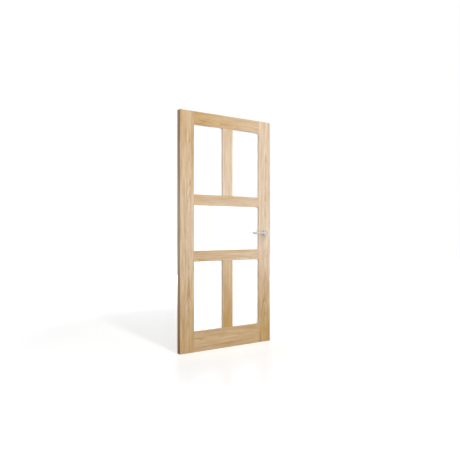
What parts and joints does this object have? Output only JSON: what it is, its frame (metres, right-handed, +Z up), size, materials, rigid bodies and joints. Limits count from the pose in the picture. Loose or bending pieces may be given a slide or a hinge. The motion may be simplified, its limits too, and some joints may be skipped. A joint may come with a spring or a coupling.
{
  "type": "interior door",
  "caption": "Glazed solid oak interior door leaf: stiles, rails and mullions round glass lights, lever handles on round roses and a sprung mortice latch.",
  "frame": {"origin": "middle of the leaf's bottom face, half way through its thickness", "axes": "+X from the hinge edge to the lock edge, +Y from the front face to the back face with its glazing beads, +Z up"},
  "size_m": [0.9405, 0.158, 2.015],
  "materials": {
    "oak": "clear matt lacquer on oak",
    "oak_bead": "clear matt lacquer on oak",
    "glass": "satin glass",
    "gasket": "matt",
    "satin_steel": "satin stainless steel",
    "plain_steel": "zinc-plated steel",
    "bronze": "plain bearing bronze"
  },
  "bodies": {
    "leaf": {"hinge_stile": "oak", "lock_stile": "oak", "top_rail": "oak", "upper_mid_rail": "oak", "lower_mid_rail": "oak", "bottom_rail": "oak", "upper_mullion": "oak", "lower_mullion": "oak", "bead_top_left_bottom": "oak_bead", "bead_top_left_left": "oak_bead", "bead_top_left_top": "oak_bead", "bead_top_left_right": "oak_bead", "bead_top_right_bottom": "oak_bead", "bead_top_right_left": "oak_bead", "bead_top_right_top": "oak_bead", "bead_top_right_right": "oak_bead", "bead_middle_bottom": "oak_bead", "bead_middle_left": "oak_bead", "bead_middle_top": "oak_bead", "bead_middle_right": "oak_bead", "bead_bottom_left_bottom": "oak_bead", "bead_bottom_left_left": "oak_bead", "bead_bottom_left_top": "oak_bead", "bead_bottom_left_right": "oak_bead", "bead_bottom_right_bottom": "oak_bead", "bead_bottom_right_left": "oak_bead", "bead_bottom_right_top": "oak_bead", "bead_bottom_right_right": "oak_bead", "glass_top_left": "glass", "glass_top_right": "glass", "glass_middle": "glass", "glass_bottom_left": "glass", "glass_bottom_right": "glass", "gasket_top_left": "gasket", "gasket_top_right": "gasket", "gasket_middle": "gasket", "gasket_bottom_left": "gasket", "gasket_bottom_right": "gasket", "front_rose_plate": "plain_steel", "front_bush": "bronze", "front_rose_cover": "satin_steel", "rear_rose_plate": "plain_steel", "rear_bush": "bronze", "rear_rose_cover": "satin_steel", "through_bolts": "plain_steel", "latch_case": "plain_steel", "latch_cover": "plain_steel", "case_screws": "plain_steel", "latch_spring": "plain_steel", "forend": "satin_steel", "forend_screws": "satin_steel"},
    "lever_set": {"front_lever": "satin_steel", "rear_lever": "satin_steel", "front_grub_screw": "plain_steel", "rear_grub_screw": "plain_steel", "spindle": "plain_steel", "follower": "plain_steel"},
    "latch": {"latch_bolt": "satin_steel"}
  },
  "joints": [
    {"name": "lever_turn", "type": "hinge", "parent": "leaf", "child": "lever_set", "pos_m": [0.405, 0, 0.9955], "axis": [0, -1, 0], "range_deg": [0, 40], "stiffness_Nm_per_rad": 2, "springref_deg": -34.38},
    {"name": "latch_slide", "type": "slide", "parent": "leaf", "child": "latch", "axis": [-1, 0, 0], "range_m": [0, 0.011], "stiffness_N_per_m": 300, "springref_m": -0.02, "deforming": ["latch_spring"]}
  ],
  "couplings": [
    {"joint": "latch_slide", "follows": "lever_turn", "m_per_rad": 0.015676}
  ]
}
